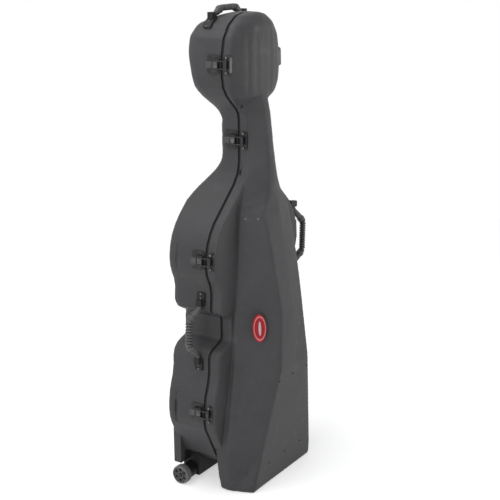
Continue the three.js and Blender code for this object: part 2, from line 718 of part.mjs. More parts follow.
const latchShares = { head: 0.9022, neck: 0.7434 };
const HEAD_LATCH = CASE_TOP * latchShares.head;
const NECK_LATCH = CASE_TOP * latchShares.neck;
const LATCH_RISE = 2;
const latchStations = [
  ['head_left', -1, HEAD_LATCH],
  ['head_right', 1, HEAD_LATCH],
  ['neck', -1, NECK_LATCH],
  ['upper', -1, UPPER_LEVEL + LATCH_RISE],
  ['lower', -1, LOWER_LEVEL + LATCH_RISE],
];
for (const [station, side, level] of latchStations) {
  const place = wallPlace(side, level, latchWallReach);
  addPiece(caseFrame, `latch_base_${station}`, cut(place(latchBase()), backSeat), finish.trim);
  addPiece(caseFrame, `latch_lever_${station}`, place(latchLever()), finish.trim);
  addPiece(caseFrame, `latch_loop_${station}`, place(latchLoop()), finish.steel);
  addPiece(caseFrame, `latch_keeper_${station}`, cut(place(latchKeeper()), lidSeat), finish.trim);
}

// Hinges on the right-hand wall: two leaves with knuckles round one pin each
const HINGE_HALF = 30;
const HINGE_LEAF = 30;
const HINGE_THICK = 3;
const KNUCKLE_RADIUS = 5;
const HINGE_PIN = 2.2;
const HINGE_OUT = 6;
const knuckleShare = 0.36;

function hingeLeaf(toward, spans) {
  const reach = [toward * (KNUCKLE_RADIUS + FIT), toward * HINGE_LEAF].sort((a, b) => a - b);
  const leaf = wallPlate(rounded(reach, [-HINGE_HALF, HINGE_HALF], HINGE_THICK), [LATCH_ROOT, HINGE_THICK]);
  const knuckles = spans.map((span) => rod(KNUCKLE_RADIUS, span).translate(HINGE_OUT, 0, 0));
  const webs = spans.map((span) => {
    const web = [0, toward * SEAM].sort((a, b) => a - b);
    return block([HINGE_OUT - KNUCKLE_RADIUS, HINGE_THICK], web, span);
  });
  return cut(join(leaf, ...knuckles, ...webs), hole(HINGE_PIN, [-LATCH_HALF * 2, LATCH_HALF * 2]).translate(HINGE_OUT, 0, 0));
}

const knuckle = HINGE_HALF * knuckleShare;
for (const [station, level] of [['upper', UPPER_LEVEL], ['lower', LOWER_LEVEL]]) {
  const place = wallPlace(1, level, latchWallReach);
  const ends = [[-HINGE_HALF, -knuckle - FIT], [knuckle + FIT, HINGE_HALF]];
  addPiece(caseFrame, `hinge_back_${station}`, cut(place(hingeLeaf(1, ends)), backSeat), finish.trim);
  addPiece(caseFrame, `hinge_lid_${station}`, cut(place(hingeLeaf(-1, [[-knuckle, knuckle]])), lidSeat), finish.trim);
  const pin = rod(HINGE_PIN, [-HINGE_HALF, HINGE_HALF], 10).translate(HINGE_OUT, 0, 0);
  addPiece(caseFrame, `hinge_pin_${station}`, place(pin), finish.steel);
}

// Carrying handles: a bowed ribbed grip whose ends turn in two brackets
const GRIP_RADIUS = 8;
const RIB_RADIUS = 9.5;
const RIB_COUNT = 9;
const GRIP_SIDES = 8;
const RINGS_PER_RIB = 4;
const BARREL_RADIUS = 4;
const BARREL_LENGTH = 12;
const BRACKET_LENGTH = 40;
const BRACKET_HALF = 14;
const BRACKET_TOP = 7;
const BRACKET_ROOT = -34;
const BRACKET_CORNER = 4;
const BRACKET_THICK = 6;
const bossShare = 0.7;
const bracketReach = outlineSlab(caseCorners, -BRACKET_THICK, -RIM, BODY_DEPTH, 0);
const ribsFrom = 0.27;
const ribsTo = 0.73;
const riseShare = 0.34;

function bow(t) {
  return smoothBetween(t, 0, riseShare) * (1 - smoothBetween(t, 1 - riseShare, 1));
}

function gripSolid(length, rise) {
  const ribRings = RIB_COUNT * RINGS_PER_RIB;
  const plain = Math.round(ribRings / 6);
  const shares = [];
  for (let i = 0; i <= plain; i += 1) {
    shares.push([ribsFrom * i / plain, GRIP_RADIUS]);
  }
  for (let i = 1; i < ribRings; i += 1) {
    const proud = i % RINGS_PER_RIB === 1 || i % RINGS_PER_RIB === 2;
    shares.push([ribsFrom + (ribsTo - ribsFrom) * i / ribRings, proud ? RIB_RADIUS : GRIP_RADIUS]);
  }
  for (let i = 0; i <= plain; i += 1) {
    shares.push([ribsTo + (1 - ribsTo) * i / plain, GRIP_RADIUS]);
  }
  const step = 1 / (4 * ribRings);
  const rings = shares.map(([t, radius]) => {
    const slope = rise * (bow(t + step) - bow(t - step)) / (2 * step * length);
    const across = new THREE.Vector3(1, 0, -slope).normalize();
    return Array.from({ length: GRIP_SIDES }, (_, side) => {
      const angle = 2 * Math.PI * side / GRIP_SIDES;
      return new THREE.Vector3(rise * bow(t), radius * Math.sin(angle), (t - 1 / 2) * length)
        .addScaledVector(across, radius * Math.cos(angle));
    });
  });
  const barrels = [-1, 1].map((end) => {
    const reach = [end * (length / 2 - BARREL_LENGTH), end * (length / 2 + BARREL_LENGTH)].sort((a, b) => a - b);
    return rod(BARREL_RADIUS, reach, 8);
  });
  return join(loft(rings, true), ...barrels);
}

function bracketSolid(length, end, frame, seat) {
  const near = length / 2 + FIT;
  const reach = [end * near, end * (near + BRACKET_LENGTH)].sort((a, b) => a - b);
  const bossReach = [end * near, end * (near + BRACKET_LENGTH / 2)].sort((a, b) => a - b);
  const boreReach = [end * (near - OVERRUN), end * (near + BARREL_LENGTH)].sort((a, b) => a - b);
  const bossHalf = BRACKET_HALF * bossShare;
  const foot = wallPlate(rounded([-BRACKET_HALF, BRACKET_HALF], reach, BRACKET_CORNER), [BRACKET_ROOT, BRACKET_TOP]);
  const boss = wallPlate(rounded([-bossHalf, bossHalf], bossReach, BRACKET_CORNER), [BRACKET_ROOT, BRACKET_TOP]);
  const bore = hole(BARREL_RADIUS, boreReach, 8);
  const thinFoot = common(foot.applyMatrix4(frame), bracketReach);
  return cut(join(thinFoot, boss.applyMatrix4(frame)), bore.applyMatrix4(frame), seat);
}

// The local z axis runs along the pivot line, x points away from the wall
function pivotFrame(low, high, outward) {
  const along = high.clone().sub(low).normalize();
  const out = outward.clone().addScaledVector(along, -outward.dot(along)).normalize();
  const sideways = along.clone().cross(out);
  const middle = low.clone().add(high).multiplyScalar(1 / 2);
  return new THREE.Matrix4().makeBasis(out, sideways, along).setPosition(middle);
}

const PIVOT_OUT = 10;
const PIVOT_FAR_OUT = 34;
function addHandle(name, low, high, outward, rise, lean, seat) {
  const length = low.distanceTo(high) - BRACKET_LENGTH;
  const frame = pivotFrame(low, high, outward);
  const grip = gripSolid(length, rise).rotateZ(lean).applyMatrix4(frame);
  addPiece(caseFrame, `${name}_grip`, grip, finish.rubber);
  for (const [place, end] of [['a', -1], ['b', 1]]) {
    const bracket = bracketSolid(length, end, frame, seat);
    addPiece(caseFrame, `${name}_bracket_${place}`, bracket, finish.trim);
  }
}

function besideWall(side, out, depth, level) {
  return new THREE.Vector3(side * (halfWidthAt(caseCorners, 0, level) + out), depth, level);
}

const LEFT_HANDLE = { depth: 35, rise: 33 };
const RIGHT_HANDLE = { depth: -19.6, rise: 48 };
const TOP_HANDLE = { half: 92, depth: 70, drop: 6, rise: 16 };
const leftShares = { low: 0.29, high: 0.4275 };
const rightShares = { low: 0.413, high: 0.578 };
const LEFT_LEAN = THREE.MathUtils.degToRad(-25);
const RIGHT_LEAN = THREE.MathUtils.degToRad(-20);
const outLeft = new THREE.Vector3(-1, 0, 0);
const outRight = new THREE.Vector3(1, 0, 0);
const outUp = new THREE.Vector3(0, 0, 1);
addHandle(
  'left_handle',
  besideWall(-1, PIVOT_OUT, LEFT_HANDLE.depth, CASE_TOP * leftShares.low),
  besideWall(-1, PIVOT_OUT, LEFT_HANDLE.depth, CASE_TOP * leftShares.high),
  outLeft, LEFT_HANDLE.rise, LEFT_LEAN, backSeat,
);
addHandle(
  'right_handle',
  besideWall(1, PIVOT_OUT, RIGHT_HANDLE.depth, CASE_TOP * rightShares.low),
  besideWall(1, PIVOT_FAR_OUT, RIGHT_HANDLE.depth, CASE_TOP * rightShares.high),
  outRight, RIGHT_HANDLE.rise, RIGHT_LEAN, lidSeat,
);
addHandle(
  'top_handle',
  new THREE.Vector3(-TOP_HANDLE.half, TOP_HANDLE.depth, CASE_TOP - TOP_HANDLE.drop),
  new THREE.Vector3(TOP_HANDLE.half, TOP_HANDLE.depth, CASE_TOP - TOP_HANDLE.drop),
  outUp, TOP_HANDLE.rise, 0, backSeat,
);

// Wheels with six holes, and the axle with a cap at each end
const HUB_RADIUS = 10;
const HOLE_RADIUS = 4.5;
const HOLE_CIRCLE = 18;
const HOLE_COUNT = 6;
const TYRE_EDGE = 4;
const CAP_RADIUS = 8;
const CAP_THICK = 3;

function wheelSolid() {
  const half = WHEEL_WIDTH / 2;
  const web = half - TYRE_EDGE;
  const bore = AXLE_RADIUS + FIT;
  const rim = WHEEL_RADIUS - TYRE_DEPTH;
  const profile = [
    [bore, -half], [HUB_RADIUS, -half], [HUB_RADIUS + FIT, -web], [rim, -web], [rim + FIT, -half],
    [WHEEL_RADIUS - TYRE_EDGE, -half], [WHEEL_RADIUS, -web], [WHEEL_RADIUS, web],
    [WHEEL_RADIUS - TYRE_EDGE, half], [rim + FIT, half], [rim, web], [HUB_RADIUS + FIT, web],
    [HUB_RADIUS, half], [bore, half], [bore, -half],
  ].map(([radius, along]) => new THREE.Vector2(radius, along));
  const disc = new THREE.LatheGeometry(profile, 24).rotateX(Math.PI / 2);
  const holes = Array.from({ length: HOLE_COUNT }, (_, i) => {
    return rod(HOLE_RADIUS, [-WHEEL_WIDTH, WHEEL_WIDTH], 8)
      .translate(HOLE_CIRCLE, 0, 0).rotateZ(2 * Math.PI * i / HOLE_COUNT);
  });
  return cut(disc, ...holes).rotateY(Math.PI / 2);
}

const wheelMiddle = WHEEL_INNER + WHEEL_WIDTH / 2;
for (const [place, side] of [['left', -1], ['right', 1]]) {
  const wheel = wheelSolid().translate(side * wheelMiddle, WHEEL_BACK, WHEEL_RADIUS);
  addPiece(caseFrame, `wheel_${place}`, wheel, finish.rubber);
}
const axleHalf = wheelMiddle + WHEEL_WIDTH / 2 + FIT;
const axle = join(
  rod(AXLE_RADIUS, [-axleHalf - CAP_THICK, axleHalf + CAP_THICK], 20),
  rod(CAP_RADIUS, [axleHalf, axleHalf + CAP_THICK], 20),
  rod(CAP_RADIUS, [-axleHalf - CAP_THICK, -axleHalf], 20),
).rotateY(Math.PI / 2).translate(0, WHEEL_BACK, WHEEL_RADIUS);
addPiece(caseFrame, 'axle', axle, finish.steel);

// Oval badge, standing upright on the spine's left slope and cut to it
const BADGE_THICK = 3;
const BADGE_HALF = 22;
const BADGE_TALL = 43;
const BADGE_SINK = 14;
const badgeShares = { level: 0.361, across: 0.48 };

// A point on the left slope, from the foot's edge to the face's edge, between two rows of the table
function slopePoint(up, across) {
  const above = spineShares.findIndex((row) => row[0] >= up);
  const [low, high] = [spineShares[above - 1], spineShares[above]];
  const share = (up - low[0]) / (high[0] - low[0]);
  const ring = spineRing(low.map((value, i) => value + (high[i] - value) * share), 0, -FOOT_BACK);
  return ring[1].clone().lerp(ring[2], across);
}

const badgeAt = slopePoint(badgeShares.level, badgeShares.across);
const badgeAlong = slopePoint(badgeShares.level, 1).sub(badgeAt);
const badgeNormal = slopePoint(badgeShares.level + 0.02, badgeShares.across).sub(badgeAt).cross(badgeAlong).normalize();
const badgeShape = new THREE.Shape().absellipse(0, 0, BADGE_HALF, BADGE_TALL, 0, 2 * Math.PI, false, 0);
const badgeUp = new THREE.Vector3(0, 0, 1).addScaledVector(badgeNormal, -badgeNormal.z).normalize();
const badgeFrame = new THREE.Matrix4()
  .makeBasis(badgeUp.clone().cross(badgeNormal), badgeUp, badgeNormal)
  .setPosition(badgeAt);
const badgeBody = plate(badgeShape, [-BADGE_SINK, BADGE_THICK], 36).applyMatrix4(badgeFrame);
addPiece(caseFrame, 'badge', cut(badgeBody, lidSeat), finish.badge);

// Neck cradle: a foam saddle inside the neck of the back shell
const CRADLE_TALL = 60;
const CRADLE_FOOT = CASE_TOP * 0.707;
const CRADLE_TOP = CRADLE_FOOT + CRADLE_TALL;
const CRADLE_FRONT = 12;
const CRADLE_GROOVE = 22;
const cradleBlock = block([-NECK_HALF, NECK_HALF], [CRADLE_FRONT, NECK_DEPTH], [CRADLE_FOOT, CRADLE_TOP]);
const cradleForm = common(cradleBlock, backBody(liningInset + FOAM + FIT, -OVERRUN));
const cradleGroove = rod(CRADLE_GROOVE, [CRADLE_FOOT - OVERRUN, CRADLE_TOP + OVERRUN], 20).translate(0, CRADLE_FRONT, 0);
addPiece(caseFrame, 'neck_cradle', cut(cradleForm, cradleGroove), finish.rubber);

// Accessory box in the head, with a lid that swings on the side of the box
const BOX_LEFT = 60;
const BOX_RIGHT = 110;
const boxShares = { low: 0.866, high: 0.927 };
const BOX_LOW = CASE_TOP * boxShares.low;
const BOX_HIGH = CASE_TOP * boxShares.high;
const BOX_FRONT = 62;
const BOX_WALL = 3;
const BOX_LID = 4;
const boxBack = HEAD_DEPTH - liningInset - FOAM - FIT;
const boxOuter = block([BOX_LEFT, BOX_RIGHT], [BOX_FRONT, boxBack], [BOX_LOW, BOX_HIGH]);
const boxInner = block(
  [BOX_LEFT + BOX_WALL, BOX_RIGHT - BOX_WALL],
  [BOX_FRONT - OVERRUN, boxBack - BOX_WALL],
  [BOX_LOW + BOX_WALL, BOX_HIGH - BOX_WALL],
);
const headHollow = backBody(liningInset + FOAM + FIT, -OVERRUN);
const boxRoom = common(boxInner, backBody(liningInset + FOAM + FIT + BOX_WALL, -OVERRUN));
addPiece(caseFrame, 'accessory_box', cut(common(boxOuter, headHollow), boxRoom), finish.trim);
const boxLid = block([BOX_LEFT, BOX_RIGHT], [BOX_FRONT - FIT - BOX_LID, BOX_FRONT - FIT], [BOX_LOW, BOX_HIGH]);
addPiece(caseFrame, 'accessory_box_lid', boxLid, finish.foam);

// Bow holders in the lid: a pocket for each tip and a turning clip near each frog
const BOW_SPREAD = 26;
const POCKET_HALF = 12;
const POCKET_TALL = 60;
const POCKET_LOW = CASE_TOP * 0.552;
const POCKET_HIGH = POCKET_LOW + POCKET_TALL;
const pocketShare = 0.364;
const POCKET_FRONT = -BELLY_DEPTH * pocketShare;
const POCKET_WALL = 4;
const CLIP_LEVEL = CASE_TOP * 0.132;
const CLIP_BASE = 12;
const CLIP_LONG = 22;
const CLIP_HALF = 7;
const CLIP_THICK = 5;
const CLIP_PIN = 3;
const CLIP_HIGH = 34;
const bowHollow = lidForm(liningInset + FOAM + FIT, OVERRUN);
const bowFloor = -BELLY_DEPTH + CLIP_HIGH + liningInset + FOAM;
for (const [place, side] of [['left', -1], ['right', 1]]) {
  const middle = side * BOW_SPREAD;
  const pocket = block([middle - POCKET_HALF, middle + POCKET_HALF], [-BELLY_DEPTH, POCKET_FRONT], [POCKET_LOW, POCKET_HIGH]);
  const bore = block(
    [middle - POCKET_HALF + POCKET_WALL, middle + POCKET_HALF - POCKET_WALL],
    [POCKET_FRONT - 2 * POCKET_HALF + POCKET_WALL, POCKET_FRONT - POCKET_WALL],
    [POCKET_LOW - OVERRUN, POCKET_HIGH - POCKET_WALL],
  );
  addPiece(caseFrame, `bow_pocket_${place}`, cut(common(pocket, bowHollow), bore), finish.trim);
  const post = block([middle - CLIP_BASE, middle + CLIP_BASE], [-BELLY_DEPTH, bowFloor], [CLIP_LEVEL - CLIP_BASE, CLIP_LEVEL + CLIP_BASE]);
  const pinBore = hole(CLIP_PIN, [-BELLY_DEPTH / 2, BELLY_DEPTH / 2]).rotateX(Math.PI / 2)
    .translate(middle, bowFloor, CLIP_LEVEL);
  const clearPost = cut(common(post, bowHollow), common(pinBore, lidSide));
  addPiece(caseFrame, `bow_post_${place}`, clearPost, finish.trim);
  const bar = block([-CLIP_LONG, CLIP_LONG], [FIT, CLIP_THICK], [-CLIP_HALF, CLIP_HALF]);
  const stem = rod(CLIP_PIN, [-CLIP_THICK, CLIP_THICK - FIT]).rotateX(Math.PI / 2);
  addPiece(caseFrame, `bow_clip_${place}`, join(bar, stem).translate(middle, bowFloor, CLIP_LEVEL), finish.trim);
}

export default hardCase;
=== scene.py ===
import math

import bmesh
import bpy
from mathutils import Matrix, Vector
from mathutils.bvhtree import BVHTree


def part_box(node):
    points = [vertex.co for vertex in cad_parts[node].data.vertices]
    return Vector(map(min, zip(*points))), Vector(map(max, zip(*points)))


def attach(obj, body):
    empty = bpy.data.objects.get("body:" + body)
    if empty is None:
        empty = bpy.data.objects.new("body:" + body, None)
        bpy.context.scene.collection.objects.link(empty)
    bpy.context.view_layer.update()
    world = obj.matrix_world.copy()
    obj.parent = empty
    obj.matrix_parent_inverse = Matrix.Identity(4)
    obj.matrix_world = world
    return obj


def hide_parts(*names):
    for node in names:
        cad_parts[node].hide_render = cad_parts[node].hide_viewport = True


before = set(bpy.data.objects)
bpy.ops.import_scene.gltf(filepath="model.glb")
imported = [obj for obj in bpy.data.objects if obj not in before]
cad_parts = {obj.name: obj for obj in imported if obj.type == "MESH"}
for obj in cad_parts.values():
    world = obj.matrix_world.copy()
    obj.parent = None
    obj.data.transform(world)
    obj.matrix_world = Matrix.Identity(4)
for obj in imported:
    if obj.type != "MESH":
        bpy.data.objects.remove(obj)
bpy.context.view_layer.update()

# Case shells: two mouldings of black polyethylene with a fine pebbled grain, a little scuffed and
# a little paler where the mould left a thicker skin. The back one is the tub that the instrument
# lies in, and the lid carries the spine that grows into the foot.


class Sock:
    """A shader socket that can be used in an expression."""

    def __init__(self, tree, socket):
        self.tree = tree
        self.socket = socket

    def _math(self, operation, first, second):
        node = self.tree.nodes.new("ShaderNodeMath")
        node.operation = operation
        for slot, value in zip(node.inputs, (first, second)):
            if isinstance(value, Sock):
                self.tree.links.new(value.socket, slot)
            else:
                slot.default_value = value
        return Sock(self.tree, node.outputs[0])

    def __add__(self, other):
        return self._math("ADD", self, other)

    def __radd__(self, other):
        return self._math("ADD", other, self)

    def __sub__(self, other):
        return self._math("SUBTRACT", self, other)

    def __rsub__(self, other):
        return self._math("SUBTRACT", other, self)

    def __mul__(self, other):
        return self._math("MULTIPLY", self, other)

    def __rmul__(self, other):
        return self._math("MULTIPLY", other, self)

    def most(self, other):
        return self._math("MAXIMUM", self, other)


class Finish:
    """A material, or the studio's air, whose nodes are added by expressions."""

    def __init__(self, name, air=False):
        self.owner = (bpy.data.worlds if air else bpy.data.materials).new(name)
        self.owner.use_nodes = True
        self.tree = self.owner.node_tree
        self.tree.nodes.clear()
        self.output = self.tree.nodes.new("ShaderNodeOutput" + ("World" if air else "Material"))

    def node(self, kind, settings=None, inputs=None, output=0):
        made = self.tree.nodes.new(kind)
        for key, value in (settings or {}).items():
            setattr(made, key, value)
        for key, value in (inputs or {}).items():
            if isinstance(value, Sock):
                self.tree.links.new(value.socket, made.inputs[key])
            else:
                made.inputs[key].default_value = value
        return Sock(self.tree, made.outputs[output])

    def place(self):
        return self.node("ShaderNodeTexCoord", output="Object")

    def noise(self, scale, detail=2.0):
        inputs = {"Vector": self.place(), "Scale": scale, "Detail": detail}
        return self.node("ShaderNodeTexNoise", inputs=inputs)

    def between(self, value, low, high):
        inputs = {"Value": value, "From Min": low, "From Max": high}
        return self.node("ShaderNodeMapRange", {"interpolation_type": "SMOOTHSTEP"}, inputs)

    def blend(self, share, first, second):
        colour_slots = {6: first, 7: second}
        inputs = {"Factor": share, **colour_slots}
        return self.node("ShaderNodeMix", {"data_type": "RGBA"}, inputs, output=2)

    def rounded(self, radius, samples):
        return self.node("ShaderNodeBevel", {"samples": samples}, {"Radius": radius})

    def bump(self, height, strength, distance, normal=None):
        inputs = {"Height": height, "Strength": strength, "Distance": distance}
        if normal:
            inputs["Normal"] = normal
        return self.node("ShaderNodeBump", inputs=inputs)

    def shows(self, shader):
        self.tree.links.new(shader.socket, self.output.inputs[0])
        return self.owner

    def surface(self, **inputs):
        named = {key.replace("_", " "): value for key, value in inputs.items()}
        return self.shows(self.node("ShaderNodeBsdfPrincipled", inputs=named))


def tinted(colour, share=1.0):
    return (*[part * share for part in colour], 1)


def moulded_plastic(name, colour, grain, softness):
    finish = Finish(name)
    inputs = {"Vector": finish.place(), "Scale": grain}
    pebbles = finish.node("ShaderNodeTexVoronoi", {"feature": "SMOOTH_F1"}, inputs)
    cloud = finish.between(finish.noise(7.0, 4.0), 0.3, 0.7)
    scuffs = finish.between(finish.noise(38.0, 6.0), 0.56, 0.72)
    tint = finish.blend(cloud, tinted(colour, 0.9), tinted(colour, 1.12))
    return finish.surface(
        Base_Color=finish.blend(scuffs * 0.35, tint, tinted(colour, 1.3)),
        Roughness=0.5 + cloud * 0.1 - scuffs * 0.05,
        Normal=finish.bump(pebbles, 0.25, 0.0004, finish.rounded(softness, 6)),
        Specular_IOR_Level=0.25,
    )


SHELL_COLOUR = (0.052, 0.052, 0.0545)
# The second, near-black plastic is painted shade: it darkens the carrier under the lower bout and
# the axle bosses, where shade falls, and it is also the strap's black.
SHADE_BLACK_COLOUR = (0.012, 0.012, 0.0125)
SHELL_GRAIN = 900.0
shell_plastic = moulded_plastic("pebbled_case_plastic", SHELL_COLOUR, SHELL_GRAIN, 0.006)
shade_black_plastic = moulded_plastic("painted_shade_black_plastic", SHADE_BLACK_COLOUR, SHELL_GRAIN, 0.003)


def in_scene(name, data):
    made = bpy.data.objects.new(name, data)
    bpy.context.scene.collection.objects.link(made)
    return made


def shaded(work, angle):
    """Soft shading, broken only at edges that turn by more than the angle in degrees."""
    for face in work.faces:
        face.smooth = True
    for edge in work.edges:
        edge.smooth = edge.is_manifold and edge.calc_face_angle(0.0) < math.radians(angle)


def smoothed(node, material, body):
    """A piece as drawn, with joined corners and soft shading, which stands for its plain solid."""
    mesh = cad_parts[node].data.copy()
    mesh.name = node + "_skin"
    work = bmesh.new()
    work.from_mesh(mesh)
    bmesh.ops.remove_doubles(work, verts=work.verts, dist=1e-5)
    shaded(work, 32)
    work.to_mesh(mesh)
    work.free()
    mesh.materials.clear()
    mesh.materials.append(material)
    piece = in_scene(node + "_skin", mesh)
    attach(piece, body)
    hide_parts(node)
    return piece


SEAM_PLACE = 0.0665
FRONT_CLEAR = 0.015
HEAD_FROM = 1.165
CUTTING_ROUNDS = 8
LONGEST_EDGE = 0.0105
HEAD_EDGE = 0.0055
STEP_EDGE = 0.004
EASING_ROUNDS = 4
SEAM_CLEAR = (0.009, 0.02)
FOOT_CORNER = 0.045
FOOT_SHARES = (1.0, 0.86, 0.72, 0.58, 0.44, 0.3, 0.2)
RELIEF_CLEAR = 0.02
FLUTE_WIDE = 0.036
FLUTE_DEEP = 0.0016
FLUTE_START = (1.19, 1.23)
FLUTE_END = (1.37, 1.4)
FLUTE_SIDE = (0.09, 0.1)
STEP_LEVEL = 0.873
STEP_HALF = 0.0665
STEP_SLOPE = 0.476
STEP_DEEP = 0.0022
STEP_SPAN = 0.02
STEP_REACH = 0.13
STEP_DROP = (-0.001, 0.002)
STEP_FADE = (0.1, 0.25)
STEP_SIDE = (0.115, 0.12)
HOLLOWS = (
    ((-0.047, 1.186), (0.034, 0.02), 0.005),
    ((0.047, 1.186), (0.034, 0.02), 0.005),
    ((-0.045, 1.407), (0.03, 0.014), -0.0025),
    ((0.045, 1.407), (0.03, 0.014), -0.0025),
)


def ease(value, low, high):
    share = min(max((value - low) / (high - low), 0.0), 1.0)
    return share * share * (3 - 2 * share)


def step_level(spot):
    return STEP_LEVEL + max(0.0, abs(spot.x) - STEP_HALF) * STEP_SLOPE


def lid_relief(spot):
    """How far the head's upright flutes and hollows and the step under the neck sink the skin."""
    aside = abs(spot.x)
    flute = FLUTE_DEEP * (1 - abs(math.sin(spot.x * math.pi / FLUTE_WIDE)))
    flute *= ease(spot.z, *FLUTE_START)
    sunk = flute * (1 - ease(spot.z, *FLUTE_END)) * (1 - ease(aside, *FLUTE_SIDE))
    for (x, z), (wide, tall), deep in HOLLOWS:
        sunk += deep * math.exp(-((spot.x - x) / wide) ** 2 - ((spot.z - z) / tall) ** 2)
    below = step_level(spot) - spot.z
    step = STEP_DEEP * ease(below, *STEP_DROP) * (1 - ease(below, *STEP_FADE))
    return sunk + step * (1 - ease(aside, *STEP_SIDE))


def edge_limit(spot, body):
    if body == "lid" and spot.y < SEAM_PLACE - FRONT_CLEAR:
        if spot.z > HEAD_FROM:
            return HEAD_EDGE
        if abs(spot.z - step_level(spot)) < STEP_SPAN and abs(spot.x) < STEP_REACH:
            return STEP_EDGE
    return LONGEST_EDGE


def eased(work, corners):
    bmesh.ops.smooth_vert(
        work, verts=corners, factor=0.5, use_axis_x=True, use_axis_y=True, use_axis_z=True
    )


def moulded_skin(node, material, body, free_above):
    """A shell cut into small faces and eased, as a rotary moulding rounds every corner."""
    piece = smoothed(node, material, body)
    work = bmesh.new()
    work.from_mesh(piece.data)
    bmesh.ops.triangulate(work, faces=work.faces)
    for _ in range(CUTTING_ROUNDS):
        long_edges = []
        for edge in work.edges:
            middle = (edge.verts[0].co + edge.verts[1].co) / 2
            if edge.calc_length() > edge_limit(middle, body):
                long_edges.append(edge)
        if not long_edges:
            break
        bmesh.ops.subdivide_edges(work, edges=long_edges, cuts=1)
        bmesh.ops.triangulate(work, faces=[face for face in work.faces if len(face.verts) > 3])
    for turn in range(EASING_ROUNDS):
        lowest = free_above if turn == 0 or body == "back" else HEAD_FROM
        for clear in SEAM_CLEAR:
            eased(work, [
                vertex for vertex in work.verts
                if abs(vertex.co.y - SEAM_PLACE) > clear and vertex.co.z > lowest
            ])
    if body == "lid":
        for share in FOOT_SHARES:
            eased(work, [vertex for vertex in work.verts if vertex.co.z < FOOT_CORNER * share])
        for vertex in work.verts:
            if vertex.co.y < SEAM_PLACE - RELIEF_CLEAR:
                vertex.co.y += lid_relief(vertex.co)
    shaded(work, 48)
    work.to_mesh(piece.data)
    work.free()
    return piece


back_skin = moulded_skin("back_shell", shell_plastic, "back", 0.19)
lid_skin = moulded_skin("lid_shell", shell_plastic, "lid", 0.0)
# Painted shade: back-shell faces low down between the wheels take the near-black plastic, which
# stands for the shade under the lower bout.
SHADE_PAINT_TOP = 0.1
SHADE_PAINT_REACH = 0.2
back_skin.data.materials.append(shade_black_plastic)
for face in back_skin.data.polygons:
    if face.center.z < SHADE_PAINT_TOP and abs(face.center.x) < SHADE_PAINT_REACH:
        face.material_index = 1

# Seal strip: a soft black rubber bead, pressed into a groove in the back shell's rim. From
# outside only the dark line of the seam shows it.

seal_finish = Finish("seal_rubber")
bloom = seal_finish.noise(60.0)
seal_rubber = seal_finish.surface(
    Base_Color=seal_finish.blend(bloom, (0.008, 0.008, 0.008, 1), (0.014, 0.014, 0.014, 1)),
    Roughness=0.8,
)
smoothed("seal_strip", seal_rubber, "back")

# Draw latches: pressed steel with a black coating, riveted through the shell. The base and its
# lever are on the back shell, the loop hangs in the lever, and the keeper is on the lid.


def coated_metal(name, colour, wear, roughness):
    finish = Finish(name)
    rubbed = finish.between(finish.noise(90.0, 5.0), 0.55, 0.75)
    return finish.surface(
        Base_Color=finish.blend(rubbed * wear, tinted(colour), (0.3, 0.3, 0.3, 1)),
        Metallic=rubbed * wear * 0.8,
        Roughness=roughness + finish.noise(240.0) * 0.12,
        Normal=finish.bump(finish.noise(700.0), 0.1, 0.0002, finish.rounded(0.0008, 4)),
    )


def tree_of(piece):
    """A tree for casting rays at a piece that still stands in the root frame."""
    mesh = piece.data
    points = [vertex.co.copy() for vertex in mesh.vertices]
    return BVHTree.FromPolygons(points, [tuple(face.vertices) for face in mesh.polygons])


def modelled(name, points, faces, material, body, replaced=(), angle=35):
    """A new piece from points and faces in the root frame."""
    mesh = bpy.data.meshes.new(name)
    mesh.from_pydata([tuple(point) for point in points], [], faces)
    work = bmesh.new()
    work.from_mesh(mesh)
    bmesh.ops.recalc_face_normals(work, faces=work.faces)
    shaded(work, angle)
    work.to_mesh(mesh)
    work.free()
    mesh.materials.append(material)
    piece = in_scene(name, mesh)
    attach(piece, body)
    if replaced:
        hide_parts(*replaced)
    return piece


def turned(profile, count, place, normal, stretch=(1.0, 1.0), upright=(0, 0, 1)):
    """A profile of (radius, height) turned about a normal, as points and faces with both caps."""
    up = Vector(normal).normalized()
    first = Vector(upright).cross(up)
    if first.length < 0.1:
        first = Vector((1, 0, 0))
    first.normalize()
    second = up.cross(first)
    points = []
    for radius, height in profile:
        for i in range(count):
            angle = 2 * math.pi * i / count
            points.append(
                Vector(place) + up * height
                + first * (math.cos(angle) * radius * stretch[0])
                + second * (math.sin(angle) * radius * stretch[1])
            )
    faces = [tuple(reversed(range(count)))]
    for row in range(len(profile) - 1):
        base, above = row * count, (row + 1) * count
        for i in range(count):
            j = (i + 1) % count
            faces.append((base + i, base + j, above + j, above + i))
    faces.append(tuple((len(profile) - 1) * count + i for i in range(count)))
    return points, faces


def joined(parts):
    points, faces = [], []
    for more, sides in parts:
        faces += [tuple(len(points) + i for i in side) for side in sides]
        points += more
    return points, faces


def screw_heads(name, spots, radius, material, body):
    """Domed heads with a sunk middle, at (place, normal) spots."""
    dome = [
        (radius * 0.96, -0.001), (radius, radius * 0.22), (radius * 0.8, radius * 0.5),
        (radius * 0.42, radius * 0.62), (radius * 0.3, radius * 0.36),
    ]
    points, faces = joined([turned(dome, 14, place, normal) for place, normal in spots])
    modelled(name, points, faces, material, body)


